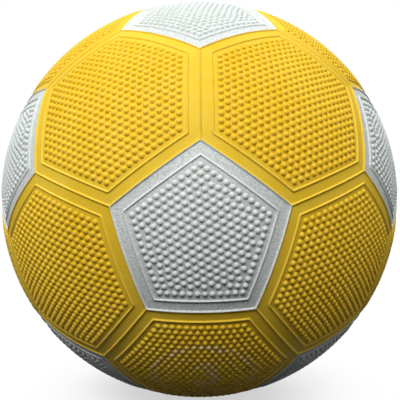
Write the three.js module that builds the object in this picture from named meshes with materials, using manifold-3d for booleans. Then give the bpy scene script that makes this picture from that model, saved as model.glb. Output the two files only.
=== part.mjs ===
// Rubber soccer ball of size 3, in millimetres.
// The origin is the ball's centre. +Z runs out through the valve, and -Y is the side that faces the viewer.
// From the outside in the ball is thirty-two moulded cover panels, a rubber carcass, a thread winding and a bladder.
// A valve housing passes through them all, and a valve core is pushed into it.

import * as THREE from 'three';
import { mergeVertices } from 'three/addons/utils/BufferGeometryUtils.js';
import Module from 'manifold-3d';

// Ball and layers. The diameter is over the studs, and makes the ball 590 mm round.
const BALL_DIAMETER = 187.8;
const STUD_HEIGHT = 0.8;
const COVER_THICKNESS = 0.9;
const CARCASS_THICKNESS = 0.4;
const WINDING_THICKNESS = 0.3;
const BLADDER_THICKNESS = 0.5;
const LAYER_CLEARANCE = 0.3;

// Raised lines on the cover
const SEAM_CLEARANCE = 0.3;
const SEAM_LINE_WIDTH = 1.1;
const FIELD_LINE_WIDTH = 1.1;
const LINE_HEIGHT = 0.5;
const BORDER_WIDTH = 4.3;
const FIELD_MARGIN = 2.3;

// Studs. The moulded ones are 2.6 mm apart. Each one here stands for seven to ten of them, with their height
// and about as much rubber as they have together.
const STUD_SPACING = 8.1;

// Valve core: a barrel with a head, and a needle hole that ends in a pair of lips
const CORE_RADIUS = 3.0;
const CORE_HEAD_LIP = 0.9;
const CORE_HEAD_THICKNESS = 1.2;
const NEEDLE_HOLE_RADIUS = 0.8;
const NEEDLE_HOLE_DEPTH = 12;
const NEEDLE_FUNNEL_WIDTH = 0.9;
const NEEDLE_FUNNEL_DEPTH = 0.9;
const CORE_LIPS_LENGTH = 5;

// Valve housing round the core: a stem through the layers, a flange under the bladder and a tail inside it
const CORE_CLEARANCE = 0.15;
const CORE_RECESS = 0.3;
const STEM_WALL = 1.45;
const STEM_CLEARANCE = 0.3;
const TAIL_WALL = 1.65;
const TAIL_REACH = 2.7;
const FLANGE_WIDTH = 8.5;
const FLANGE_THICKNESS = 1.0;
const VALVE_RIM_HEIGHT = 0.7;
const VALVE_PAD_WIDTH = 3.0;
const VALVE_PAD_SINK = 0.2;

// Steps along one side of a panel on its raised lines and on the hidden layers, and steps round the valve
const LINE_STEPS = 4;
const INNER_STEPS = 2;
const VALVE_SEGMENTS = 24;

// Radii of the layers, measured from the ball's centre
const crownRadius = BALL_DIAMETER / 2;
const coverRadius = crownRadius - STUD_HEIGHT;
const coverInnerRadius = coverRadius - COVER_THICKNESS;
const carcassRadius = coverInnerRadius - LAYER_CLEARANCE;
const carcassInnerRadius = carcassRadius - CARCASS_THICKNESS;
const windingRadius = carcassInnerRadius - LAYER_CLEARANCE;
const windingInnerRadius = windingRadius - WINDING_THICKNESS;
const bladderRadius = windingInnerRadius - LAYER_CLEARANCE;
const bladderInnerRadius = bladderRadius - BLADDER_THICKNESS;
const lineRadius = coverRadius + LINE_HEIGHT;
const halfFieldLine = FIELD_LINE_WIDTH / 2;

// Radii of the valve, from the core out
const coreHeadRadius = CORE_RADIUS + CORE_HEAD_LIP;
const stemRadius = coreHeadRadius + CORE_CLEARANCE + STEM_WALL;
const padRadius = stemRadius + VALVE_PAD_WIDTH;
const padLineRadius = padRadius + halfFieldLine;

// Colours and finishes
const yellowRubber = { color: 0xe5b52b, roughness: 0.55, metalness: 0 };
const silverRubber = { color: 0xc3c8c8, roughness: 0.42, metalness: 0.35 };
const carcassRubber = { color: 0x23211f, roughness: 0.8, metalness: 0 };
const windingNylon = { color: 0xe8e4d8, roughness: 0.75, metalness: 0 };
const bladderButyl = { color: 0x171717, roughness: 0.5, metalness: 0 };
const valveRubber = { color: 0x2a2a2a, roughness: 0.6, metalness: 0 };
const coreRubber = { color: 0x101010, roughness: 0.45, metalness: 0 };

const wasm = await Module();
wasm.setup();

// Closed mesh to solid, and solid back to mesh
function solidOf(geometry) {
  const bare = new THREE.BufferGeometry();
  bare.setAttribute('position', geometry.getAttribute('position'));
  bare.setIndex(geometry.getIndex());
  const merged = mergeVertices(bare);
  return new wasm.Manifold(new wasm.Mesh({
    numProp: 3,
    vertProperties: merged.attributes.position.array,
    triVerts: new Uint32Array(merged.index.array),
  }));
}

function geometryOf(solid) {
  const mesh = solid.getMesh();
  const geometry = new THREE.BufferGeometry();
  geometry.setAttribute('position', new THREE.BufferAttribute(mesh.vertProperties, mesh.numProp));
  geometry.setIndex(new THREE.BufferAttribute(mesh.triVerts, 1));
  geometry.computeVertexNormals();
  return geometry;
}

// Triangle corners in order, three to a face, as a geometry
function geometryFromTriangles(points) {
  const geometry = new THREE.BufferGeometry().setFromPoints(points);
  geometry.computeVertexNormals();
  return geometry;
}

// Turned solid about Z from a closed profile of [radius, height] points
function turned(profile) {
  const points = profile.map(([radius, height]) => new THREE.Vector2(radius, height));
  const geometry = new THREE.LatheGeometry(points, VALVE_SEGMENTS);
  geometry.rotateX(Math.PI / 2);
  return geometry;
}

function cylinder(radius, bottom, top) {
  return turned([[0, bottom], [radius, bottom], [radius, top], [0, top]]);
}

// The twelve pentagon centres are the corners of an icosahedron that has one of its faces square to Z.
const UPPER_POLAR = Math.acos(Math.sqrt((5 + 2 * Math.sqrt(5)) / 15));
const LOWER_POLAR = Math.PI - Math.acos(Math.sqrt((5 - 2 * Math.sqrt(5)) / 15));
const THIRD_TURN = 2 * Math.PI / 3;
const FRONT_AZIMUTH = -Math.PI / 2;
const NEIGHBOUR_COSINE = 1 / Math.sqrt(5);
const CORNER_SHARE = 1 / 3;
const ROUNDING = 1e-6;

function direction(polar, azimuth) {
  const flat = Math.sin(polar);
  return new THREE.Vector3(flat * Math.cos(azimuth), flat * Math.sin(azimuth), Math.cos(polar));
}

function areNeighbours(a, b) {
  return Math.abs(a.dot(b) - NEIGHBOUR_COSINE) < ROUNDING;
}

function pentagonDirections() {
  const found = [];
  for (const polar of [UPPER_POLAR, LOWER_POLAR]) {
    for (let third = 0; third < 3; third += 1) {
      const centre = direction(polar, FRONT_AZIMUTH + third * THIRD_TURN);
      found.push(centre, centre.clone().negate());
    }
  }
  return found;
}

// A seam corner lies a third of the way along the straight edge between two pentagon centres.
function seamCorner(near, far) {
  return near.clone().lerp(far, CORNER_SHARE).normalize();
}

// A panel's place: its centre's direction, and the direction of one of its corners
function pentagonPlaces(centres) {
  return centres.map((centre) => ({
    centre,
    corner: seamCorner(centre, centres.find((other) => areNeighbours(centre, other))),
  }));
}

function hexagonPlaces(centres) {
  const places = [];
  centres.forEach((a, i) => centres.slice(i + 1).forEach((b, j) => {
    if (!areNeighbours(a, b)) return;
    centres.slice(i + j + 2).forEach((c) => {
      if (!areNeighbours(a, c) || !areNeighbours(b, c)) return;
      places.push({ centre: a.clone().add(b).add(c).normalize(), corner: seamCorner(a, b) });
    });
  }));
  return places;
}

// From the valve down, and round from the front within each level
function fromTheTop(places) {
  const turn = ({ centre }) => {
    const angle = Math.atan2(centre.y, centre.x) - FRONT_AZIMUTH;
    return Math.round(angle / ROUNDING) < 0 ? angle + 2 * Math.PI : angle;
  };
  return places.sort((a, b) => {
    const drop = b.centre.z - a.centre.z;
    return Math.abs(drop) > ROUNDING ? drop : turn(a) - turn(b);
  });
}

function rotationOf({ centre, corner }) {
  const across = corner.clone().addScaledVector(centre, -corner.dot(centre)).normalize();
  const along = new THREE.Vector3().crossVectors(centre, across);
  return new THREE.Matrix4().makeBasis(across, along, centre);
}

// In a patch's pattern of triangles every third point carries a stud, and six others lie round it.
function carriesStud(ring, step) {
  return (ring + step) % 3 === 0;
}

// A panel in its own frame, with its centre on +Z. Its sides are great circles, so on the plane that touches the
// ball at the panel's centre its outline and every raised line on it are the same polygon at another scale.
class PanelOutline {
  constructor(sides, cornerAngle) {
    this.sides = sides;
    this.cornerReach = Math.tan(cornerAngle);
    this.sideAngle = Math.atan(this.cornerReach * Math.cos(Math.PI / sides));
  }

  // Scale of the polygon that lies a distance inside the seam, measured along the cover
  scaleInside(distance) {
    return Math.tan(this.sideAngle - distance / coverRadius) / Math.tan(this.sideAngle);
  }

  // Point of a ring, which is the polygon at a scale with a number of steps along each side. It lies at the ring's
  // radius, or on a stud's crown.
  pointOn(ring, side, step) {
    const start = 2 * Math.PI * side / this.sides;
    const end = 2 * Math.PI * (side + 1) / this.sides;
    const share = step / ring.steps;
    const reach = this.cornerReach * ring.scale;
    return new THREE.Vector3(
      reach * THREE.MathUtils.lerp(Math.cos(start), Math.cos(end), share),
      reach * THREE.MathUtils.lerp(Math.sin(start), Math.sin(end), share),
      1,
    ).setLength(ring.studded && carriesStud(ring.steps, step) ? crownRadius : ring.radius);
  }

  // Faces from the centre out, where the first ring has one step along each side and each later one has one more
  patch(centreRadius, rings) {
    const at = (ring, side, step) => (ring === 0
      ? new THREE.Vector3(0, 0, centreRadius)
      : this.pointOn(rings[ring - 1], side, step));
    const faces = [];
    for (let side = 0; side < this.sides; side += 1) {
      for (let ring = 1; ring <= rings.length; ring += 1) {
        for (let step = 0; step < ring; step += 1) {
          faces.push(at(ring, side, step), at(ring, side, step + 1), at(ring - 1, side, step));
          if (step === ring - 1) continue;
          faces.push(at(ring - 1, side, step), at(ring, side, step + 1), at(ring - 1, side, step + 1));
        }
      }
    }
    return faces;
  }

  // Faces between two rings, whose numbers of steps can differ
  band(inner, outer) {
    const faces = [];
    for (let side = 0; side < this.sides; side += 1) {
      let near = 0;
      let far = 0;
      while (near < inner.steps || far < outer.steps) {
        const a = this.pointOn(inner, side, near);
        const b = this.pointOn(outer, side, far);
        if ((far + 1) / outer.steps <= (near + 1) / inner.steps) {
          far += 1;
          faces.push(a, b, this.pointOn(outer, side, far));
        } else {
          near += 1;
          faces.push(a, b, this.pointOn(inner, side, near));
        }
      }
    }
    return faces;
  }
}

function turnedOver(faces) {
  const flipped = [];
  for (let i = 0; i < faces.length; i += 3) {
    flipped.push(faces[i], faces[i + 2], faces[i + 1]);
  }
  return flipped;
}

// Rings from the centre out to a scale, evenly spaced, all at one radius
function evenRings(count, scale, radius) {
  return Array.from({ length: count }, (_, i) => ({ scale: scale * (i + 1) / count, radius, steps: i + 1 }));
}

// One cover panel: half of the raised seam line at its edge, a flat border, the raised line round the field,
// and the field with its studs. They leave a clear radius round the panel's centre free.
function panelGeometry(outline, clearRadius = 0) {
  const ring = (distance, radius) => ({ scale: outline.scaleInside(distance), radius, steps: LINE_STEPS });
  const seam = ring(SEAM_CLEARANCE / 2, lineRadius);
  const seamFoot = ring(SEAM_LINE_WIDTH / 2, coverRadius);
  const lineOuterFoot = ring(BORDER_WIDTH - halfFieldLine, coverRadius);
  const lineCrest = ring(BORDER_WIDTH, lineRadius);
  const lineInnerFoot = ring(BORDER_WIDTH + halfFieldLine, coverRadius);
  const studScale = outline.scaleInside(BORDER_WIDTH + halfFieldLine + FIELD_MARGIN);
  const studReach = coverRadius * Math.atan(outline.cornerReach * studScale);
  const rows = Math.round(studReach * Math.sqrt(3) / STUD_SPACING);
  const field = evenRings(rows, studScale, coverRadius).map((row) => ({
    ...row,
    studded: (row.steps - 1) * studReach / rows >= clearRadius,
  }));
  const inside = evenRings(INNER_STEPS, seam.scale, coverInnerRadius);
  return geometryFromTriangles([
    ...outline.patch(clearRadius === 0 ? crownRadius : coverRadius, field),
    ...outline.band(field.at(-1), lineInnerFoot),
    ...outline.band(lineInnerFoot, lineCrest),
    ...outline.band(lineCrest, lineOuterFoot),
    ...outline.band(lineOuterFoot, seamFoot),
    ...outline.band(seamFoot, seam),
    ...outline.band(seam, inside.at(-1)),
    ...turnedOver(outline.patch(coverInnerRadius, inside)),
  ]);
}

// The whole sphere in the hidden layers' coarser steps, with each point that panels share stored once
function ballGeometry(panels, radius) {
  const points = [];
  const stored = new Map();
  const index = [];
  for (const { outline, rotation } of panels) {
    const faces = outline.patch(1, evenRings(INNER_STEPS, 1, 1));
    for (const corner of faces) {
      const point = corner.applyMatrix4(rotation);
      const key = point.toArray().map((value) => Math.round(value / ROUNDING)).join();
      if (!stored.has(key)) {
        stored.set(key, points.length);
        points.push(point.multiplyScalar(radius));
      }
      index.push(stored.get(key));
    }
  }
  return new THREE.BufferGeometry().setFromPoints(points).setIndex(index);
}

const pentagonCentres = pentagonDirections();
const pentagons = fromTheTop(pentagonPlaces(pentagonCentres));
const hexagons = fromTheTop(hexagonPlaces(pentagonCentres));
const outlineOf = (sides, { centre, corner }) => new PanelOutline(sides, centre.angleTo(corner));
const pentagonOutline = outlineOf(5, pentagons[0]);
const hexagonOutline = outlineOf(6, hexagons[0]);

// Heights of the valve, on the Z axis
const padHeight = Math.sqrt(coverRadius ** 2 - padRadius ** 2) - VALVE_PAD_SINK;
const valveTop = padHeight + VALVE_RIM_HEIGHT;
const coreTop = valveTop - CORE_RECESS;
const coreBottom = coreTop - NEEDLE_HOLE_DEPTH - CORE_LIPS_LENGTH;
const valveBottom = coreBottom - TAIL_REACH;
const cutTop = crownRadius + padRadius;
const valveHole = cylinder(stemRadius + STEM_CLEARANCE, valveBottom, cutTop);
const valvePad = cylinder(padRadius, padHeight, cutTop);

// The raised line round the valve's pad: a ridge whose lower half lies in the cover
function padLineGeometry() {
  const crest = Math.sqrt(lineRadius ** 2 - padLineRadius ** 2);
  const root = crest - 2 * LINE_HEIGHT;
  return turned([
    [padLineRadius - FIELD_LINE_WIDTH, root],
    [padLineRadius + FIELD_LINE_WIDTH, root],
    [padLineRadius, crest],
    [padLineRadius - FIELD_LINE_WIDTH, root],
  ]);
}

// The hexagon that the valve passes through has a flat pad round it, with a raised line of its own.
function valvePanelGeometry() {
  const panel = solidOf(panelGeometry(hexagonOutline, padLineRadius + halfFieldLine));
  const lined = panel.add(solidOf(padLineGeometry()));
  return geometryOf(lined.subtract(solidOf(valvePad)).subtract(solidOf(valveHole)));
}

// A closed layer with the valve's hole through it, which leaves its hollow open
function layerGeometry(panels, outerRadius, innerRadius) {
  const outside = solidOf(ballGeometry(panels, outerRadius));
  const inside = solidOf(ballGeometry(panels, innerRadius));
  return geometryOf(outside.subtract(inside).subtract(solidOf(valveHole)));
}

// The flange lies under the bladder's flat faces round the valve, so it slopes as they do.
function bladderSlope() {
  const ringAngle = Math.atan(hexagonOutline.cornerReach / INNER_STEPS);
  const drop = 1 - Math.cos(ringAngle);
  return drop / (Math.sin(ringAngle) * Math.cos(Math.PI / hexagonOutline.sides));
}

function housingGeometry() {
  const slope = bladderSlope();
  const flangeTop = (radius) => bladderInnerRadius - STEM_CLEARANCE - slope * radius;
  const boreRadius = CORE_RADIUS + CORE_CLEARANCE;
  const recessRadius = coreHeadRadius + CORE_CLEARANCE;
  const shoulder = coreTop - CORE_HEAD_THICKNESS - CORE_CLEARANCE;
  const tailRadius = boreRadius + TAIL_WALL;
  const flangeRadius = stemRadius + FLANGE_WIDTH;
  return turned([
    [boreRadius, valveBottom],
    [tailRadius, valveBottom],
    [tailRadius, flangeTop(tailRadius) - FLANGE_THICKNESS],
    [flangeRadius, flangeTop(flangeRadius) - FLANGE_THICKNESS],
    [flangeRadius, flangeTop(flangeRadius)],
    [stemRadius, flangeTop(stemRadius)],
    [stemRadius, valveTop],
    [recessRadius, valveTop],
    [recessRadius, shoulder],
    [boreRadius, shoulder],
    [boreRadius, valveBottom],
  ]);
}

// The needle hole ends in lips that stay shut, so it is a blind hole here.
function coreGeometry() {
  return turned([
    [0, coreBottom],
    [CORE_RADIUS, coreBottom],
    [CORE_RADIUS, coreTop - CORE_HEAD_THICKNESS],
    [coreHeadRadius, coreTop - CORE_HEAD_THICKNESS],
    [coreHeadRadius, coreTop],
    [NEEDLE_HOLE_RADIUS + NEEDLE_FUNNEL_WIDTH, coreTop],
    [NEEDLE_HOLE_RADIUS, coreTop - NEEDLE_FUNNEL_DEPTH],
    [NEEDLE_HOLE_RADIUS, coreTop - NEEDLE_HOLE_DEPTH],
    [0, coreTop - NEEDLE_HOLE_DEPTH],
  ]);
}

function meshOf(name, geometry, finish) {
  const mesh = new THREE.Mesh(geometry, new THREE.MeshStandardMaterial(finish));
  mesh.name = name;
  return mesh;
}

// Panels are named from the valve down. The first hexagon is the one that the valve passes through.
function coverGroup() {
  const cover = new THREE.Group();
  const addPanels = (places, outline, prefix, finish) => places.forEach((place, i) => {
    const geometry = panelGeometry(outline);
    const mesh = meshOf(`${prefix}_${String(i + 1).padStart(2, '0')}`, geometry, finish);
    mesh.quaternion.setFromRotationMatrix(rotationOf(place));
    cover.add(mesh);
  });
  addPanels(pentagons, pentagonOutline, 'pentagon_panel', silverRubber);
  addPanels(hexagons, hexagonOutline, 'hexagon_panel', yellowRubber);
  cover.getObjectByName('hexagon_panel_01').geometry = valvePanelGeometry();
  return cover;
}

function layerGroup() {
  const panels = [
    ...pentagons.map((place) => ({ outline: pentagonOutline, rotation: rotationOf(place) })),
    ...hexagons.map((place) => ({ outline: hexagonOutline, rotation: rotationOf(place) })),
  ];
  const layer = (outer, inner) => layerGeometry(panels, outer, inner);
  const layers = new THREE.Group();
  layers.add(
    meshOf('carcass', layer(carcassRadius, carcassInnerRadius), carcassRubber),
    meshOf('thread_winding', layer(windingRadius, windingInnerRadius), windingNylon),
    meshOf('bladder', layer(bladderRadius, bladderInnerRadius), bladderButyl),
  );
  return layers;
}

function valveGroup() {
  const valve = new THREE.Group();
  valve.add(
    meshOf('valve_housing', housingGeometry(), valveRubber),
    meshOf('valve_core', coreGeometry(), coreRubber),
  );
  return valve;
}

const ball = new THREE.Group();
ball.add(coverGroup(), layerGroup(), valveGroup());

export default ball;
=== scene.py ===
import itertools
import math

import bpy
import numpy as np
from mathutils import Matrix, Vector
from mathutils.geometry import delaunay_2d_cdt

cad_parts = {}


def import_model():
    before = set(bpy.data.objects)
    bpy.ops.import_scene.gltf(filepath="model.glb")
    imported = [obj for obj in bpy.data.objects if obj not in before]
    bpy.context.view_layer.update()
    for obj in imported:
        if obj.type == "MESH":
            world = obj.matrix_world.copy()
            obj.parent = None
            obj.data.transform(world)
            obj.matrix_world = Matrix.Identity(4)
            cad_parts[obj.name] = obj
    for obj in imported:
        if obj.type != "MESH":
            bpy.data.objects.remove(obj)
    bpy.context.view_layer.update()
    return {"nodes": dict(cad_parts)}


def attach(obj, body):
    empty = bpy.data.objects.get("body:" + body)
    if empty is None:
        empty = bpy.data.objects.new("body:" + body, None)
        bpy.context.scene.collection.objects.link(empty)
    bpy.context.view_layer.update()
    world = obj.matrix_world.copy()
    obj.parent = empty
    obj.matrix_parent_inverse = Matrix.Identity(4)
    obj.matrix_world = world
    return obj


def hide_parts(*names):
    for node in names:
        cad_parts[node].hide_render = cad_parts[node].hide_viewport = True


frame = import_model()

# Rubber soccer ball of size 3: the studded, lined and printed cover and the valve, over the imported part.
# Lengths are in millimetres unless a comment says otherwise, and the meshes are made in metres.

MM = 0.001
SEED = 3
random = np.random.default_rng(SEED)

# Ball and cover
CROWN_DIAMETER = 187.8
CROWN_RADIUS = CROWN_DIAMETER / 2
STUD_HEIGHT = 0.8
COVER_RADIUS = CROWN_RADIUS - STUD_HEIGHT
COVER_THICKNESS = 0.9
INNER_RADIUS = COVER_RADIUS - COVER_THICKNESS
SEAM_GAP = 0.015

# Panels
PENTAGON_SIDES = 5
HEXAGON_SIDES = 6
NEIGHBOUR_COSINE = 1 / math.sqrt(5)
ROUNDING_ERROR = 1e-6

# Turn of the ball: angles in degrees from the valve down to the front pentagon and to the printed hexagon,
# and the way to the viewer in radians round the valve's axis
FRONT_POLAR = 100.8
PRINTED_POLAR = 138.2
TO_VIEWER = -math.pi / 2
UP = np.array([0.0, 0.0, 1.0])

# Raised lines: distances inside the seam, and heights above the cover
BORDER_WIDTH = 4.3
BORDER_RINGS = (1.6, 2.6)
LINE_HALF_WIDTH = 0.55
LINE_HEIGHT = 0.5
LINE_EASE = 0.1
LINE_STEPS = (0, 0.25, 0.5, 0.75, 1)
LINE_ROUNDING = 1.3
SIDE_STEPS = 24
INNER_SHARES = (0.75, 0.5, 0.25)

# Studs. The spread lists the rings of points on one stud: the distance from its middle, the number of points,
# and the turn of the first one in steps. Sideways is any direction that no stud points in.
STUD_RADIUS = 1.1
STUD_SPREAD = ((0.0, 1, 0), (0.5, 6, 0.5), (0.84, 12, 0), (1.06, 14, 0), (1.1, 14, 0), (1.15, 14, 0))
SIDEWAYS = (0.0, 1.0, 0.3)
LOWEST_STUD = 0.93
ROW_INSET = BORDER_WIDTH + 2.8
HEXAGON_ROWS = 11
HEXAGON_TOP_STUDS = 13
PENTAGON_SIDE_STUDS = 11
PENTAGON_PITCH = 2.55
PENTAGON_ROW_SPACING = 2.46
PENTAGON_ROWS = 23
PENTAGON_HALF_ROW = 12
STUD_CLEAR = 1.7
STUD_REST = 2.62
SETTLE_ROUNDS = 80
SETTLE_SHARE = 0.35

# Triangulation of the field: how far its sides are drawn in for it, and when a face has no area
SIDE_HOLLOW = 0.004
POINT_TOLERANCE = 1e-5
NO_AREA = 1e-8
ONLY_INSIDE = 1

# Pad round the valve, with radii and depths of its rings down into the hole
VALVE_PAD_RADIUS = 8.5
VALVE_HOLE_RADIUS = 5.8
PAD_SINK = 0.2
PAD_HEIGHT = math.sqrt(COVER_RADIUS ** 2 - VALVE_PAD_RADIUS ** 2) - PAD_SINK
PAD_RINGS = (
    (VALVE_PAD_RADIUS, 0), (7.2, 0), (6.1, 0), (5.92, 0.04), (5.83, 0.12), (VALVE_HOLE_RADIUS, 0.25))
PAD_TO_STUDS = 0.3

# Valve core and housing, with heights along z
VALVE_TOP = PAD_HEIGHT + 0.7
CORE_CLEARANCE = 0.15
CORE_RADIUS = 3.0
CORE_HEAD_RADIUS = 3.9
CORE_HEAD_THICKNESS = 1.2
CORE_TOP = VALVE_TOP - 0.3
CORE_BOTTOM = CORE_TOP - 17
FUNNEL_RADIUS = 1.7
FUNNEL_DEPTH = 0.9
NEEDLE_HOLE_RADIUS = 0.8
NEEDLE_HOLE_DEPTH = 12
VALVE_BOTTOM = CORE_BOTTOM - 2.7
STEM_RADIUS = 5.5
TAIL_RADIUS = 4.8
FLANGE_RADIUS = 14.0
FLANGE_THICKNESS = 1
FLANGE_TOP = COVER_RADIUS - 3.3
FLANGE_SLOPE = 0.1258
VALVE_SEGMENTS = 96
HOUSING_ROUNDING = 0.22
CORE_ROUNDING = 0.2
ROUNDING_STEPS = (0, 0.33, 0.67, 1)
SHARP_ANGLE = math.radians(40)

# A piece's picture map, 1 wide and high: the outer face large, the inner face small and the wall in a strip
MAP_OUTER_MIDDLE, MAP_OUTER_REACH = np.array([0.5, 0.56]), 0.43
MAP_INNER_MIDDLE, MAP_INNER_REACH = np.array([0.07, 0.07]), 0.055
MAP_WALL_START, MAP_WALL_LENGTH = 0.2, 0.78
MAP_WALL_BOTTOM, MAP_WALL_TOP = 0.015, 0.045
TINY = 1e-9

# Colours
YELLOW = (0.93, 0.63, 0.041)
YELLOW_DEEP = (0.87, 0.56, 0.022)
# Lighter yellow for worn patches, for stud tops that are partly worn and partly painted highlight, and for
# the painted highlight on the crests
YELLOW_WEAR_AND_HIGHLIGHT = (0.95, 0.73, 0.16)
# Painted shade in yellow among the studs and at the feet of the raised lines
YELLOW_SHADE = (0.88, 0.52, 0.0)
SILVER = (0.84, 0.89, 0.86)
SILVER_DARK = (0.34, 0.36, 0.36)
# Paler silver as painted highlight on the studs and crests
SILVER_HIGHLIGHT = (0.88, 0.93, 0.89)
# Darker silver as painted shade among the studs and at the feet of the raised lines
SILVER_SHADE = (0.58, 0.61, 0.58)
INK = (0.80, 0.69, 0.62)
CARCASS_BLACK = (0.022, 0.019, 0.017)
BUTYL_BLACK = (0.010, 0.010, 0.010)
VALVE_BLACK = (0.024, 0.023, 0.022)
CORE_BLACK = (0.010, 0.010, 0.010)
BLOOM = (0.16, 0.15, 0.14)
BUTYL_BLOOM = (0.22, 0.21, 0.20)
THREAD = (0.80, 0.77, 0.69)
LATEX = (0.42, 0.38, 0.29)

# Looks of the rubber. Noise, relief and painted shade run from 0 to 1, and a range is the part of that which
# counts.
# A share is how much of a colour is mixed in at most.
NOISE_RANGE = (0.3, 0.7)
TONE_RANGE = (0.35, 0.65)
PATCH_RANGE = (0.3, 0.75)
STUD_RISE = (0.15, 0.6)
STUD_SIDE = (0.3, 0.9)
STUD_TOP = (0.6, 1.0)
SHADE_RANGE = (0.3, 1.0)
# Painted shade on the raised lines' feet, from 0 to 1 like the painted shade among the studs
FOOT_SHADE = 0.5
# Painted highlight along the raised lines' crests
CREST_HIGHLIGHT_SHARE = 0.2
YELLOW_PATCH_SHARE = 0.22
# Stud tops lightened partly for wear and partly as painted highlight
YELLOW_TOP_WEAR_AND_HIGHLIGHT_SHARE = 0.35
# Painted shade among the yellow studs
YELLOW_SHADE_SHARE = 0.35
# Painted highlight on the silver studs
SILVER_STUD_HIGHLIGHT_SHARE = 0.55
# Painted shade among the silver studs
SILVER_SHADE_SHARE = 0.3
COARSE_FLAKE, COARSE_SHARE = 0.42, 0.65
FINE_FLAKE, FINE_SHARE = 0.2, 0.35
MEAN_SPARKLE = 0.72
BORDER_SPARKLE, STUD_SPARKLE = 0.8, 0.3
BLOOM_RANGE = (0.45, 0.8)
BLOOM_SHARE = 0.5

# Print on the marked hexagon, from its middle, with y towards the front pentagon. A ring is its radius, half
# width and share of ink. The digit is two arcs, one above the other, cut open on their left where they meet.
# An arc is the height of its middle, its radius, its half width, and 1 where it is open below or -1 above.
RING_MIDDLE = (0.8, -2.4)
OUTER_RING = (19.4, 1.3, 0.85)
INNER_RING = (14.0, 0.7, 0.3)
DIGIT_X = 1.5
DIGIT_UPPER_ARC = (3.2, 3.2, 2.2, 1)
DIGIT_LOWER_ARC = (-4.0, 4.3, 2.3, -1)
DIGIT_CUT_X = 1.1
DIGIT_CUT_REACH = 0.7
PRINT_WEAR_RANGE = (0.40, 0.62)
PRINT_WEAR = (0.12, 0.50)
PRINT_IN_PITS = 0.45

# Nylon winding
THREAD_SPACING = 1.1
THREAD_WOBBLE = 3.0
THREAD_RISE = (-0.2, 1.0)
THREAD_TURNS = ((0, 0, 1), (0.9, 0.2, 0.4), (-0.4, 0.8, 0.5), (0.3, -0.7, 0.65))

# Studio, in metres and watts. The floor shines white, near the ball only in part, so that its shadow shows.
FLOOR_RINGS = (0.15, 0.3, 0.6, 1.2, 2.4, 6.0)
FLOOR_SEGMENTS = 96
FLOOR_COLOUR = (0.97, 0.97, 0.97)
FLOOR_TO_OBJECT = (0.02, 0.02, 0.02)
SHADOW_REACH = (0.02, 0.10)
SHADOW_WHITE = (0.6, 1.0)
SKY_RISE = (0.18, 0.58)
SKY_STRENGTH = (0.0, 0.70)
LAMPS = (
    ("top_softbox", (-0.08, -0.30, 0.92), (1.0, 0.6), 2.0),
    ("front_softbox", (-0.18, -0.74, 0.60), (0.7, 0.3), 6.5),
    ("back_softbox", (0.20, 0.86, 0.42), (0.9, 0.4), 4.5),
)

# Camera, fitted to the seam corners of the photograph: turn from the front pentagon in degrees, distance in
# crown radii, and offset of the picture's middle in pixels
CAMERA_TURN = (7.904, 0.326, 0.288)
CAMERA_DISTANCE = 2.745
CAMERA_LENS = 45.63
CAMERA_SENSOR = 36
PHOTO_WIDTH = 400
PHOTO_OFFSET = 0.71
CLIP_START = 0.01


# Layout of the panels

def unit(v):
    v = np.asarray(v, float)
    return v / np.linalg.norm(v, axis=-1, keepdims=True)


def direction(polar, azimuth):
    level = math.sin(polar)
    return np.array([level * math.cos(azimuth), level * math.sin(azimuth), math.cos(polar)])


def closest(centres, towards):
    """Number of the centre that lies nearest to a direction."""
    return int(np.argmax(centres @ towards))


def pentagon_centres():
    """Three pentagons round the valve's hexagon, three further down, and their opposites."""
    upper = math.acos(math.sqrt((5 + 2 * math.sqrt(5)) / 15))
    lower = math.pi - math.acos(math.sqrt((5 - 2 * math.sqrt(5)) / 15))
    found = []
    for polar in (upper, lower):
        for third in range(3):
            centre = direction(polar, TO_VIEWER + third * 2 * math.pi / 3)
            found += [centre, -centre]
    return np.array(found)


PENTAGONS = pentagon_centres()
NEAR = np.abs(PENTAGONS @ PENTAGONS.T - NEIGHBOUR_COSINE) < ROUNDING_ERROR

# A hexagon lies between three pentagons that are near each other
HEXAGON_NEIGHBOURS = [
    (a, b, c) for a, b, c in itertools.combinations(range(len(PENTAGONS)), 3)
    if NEAR[a, b] and NEAR[a, c] and NEAR[b, c]]
HEXAGONS = np.array([unit(PENTAGONS[a] + PENTAGONS[b] + PENTAGONS[c]) for a, b, c in HEXAGON_NEIGHBOURS])

FRONT_PENTAGON = closest(PENTAGONS, direction(math.radians(FRONT_POLAR), TO_VIEWER))
PRINTED_HEXAGON = closest(HEXAGONS, direction(math.radians(PRINTED_POLAR), TO_VIEWER))
VALVE_HEXAGON = closest(HEXAGONS, UP)


def corner_angle(centre, near, far):
    """Angle at the ball's centre between a panel's middle and its corner, which lies a third of the way from
    the near pentagon to the far one."""
    return math.acos(float(unit(2 * near + far) @ centre))


PENTAGON_CORNER = corner_angle(PENTAGONS[0], PENTAGONS[0], PENTAGONS[NEAR[0]][0])
HEXAGON_CORNER = corner_angle(HEXAGONS[0], *PENTAGONS[list(HEXAGON_NEIGHBOURS[0][:2])])


def basis(centre, up):
    """Rows are the panel's own x, y and z: z out through its centre, y towards the direction given."""
    y = unit(up - (up @ centre) * centre)
    return np.array([np.cross(y, centre), y, centre])


# Shape of one panel, in its own frame

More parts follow.
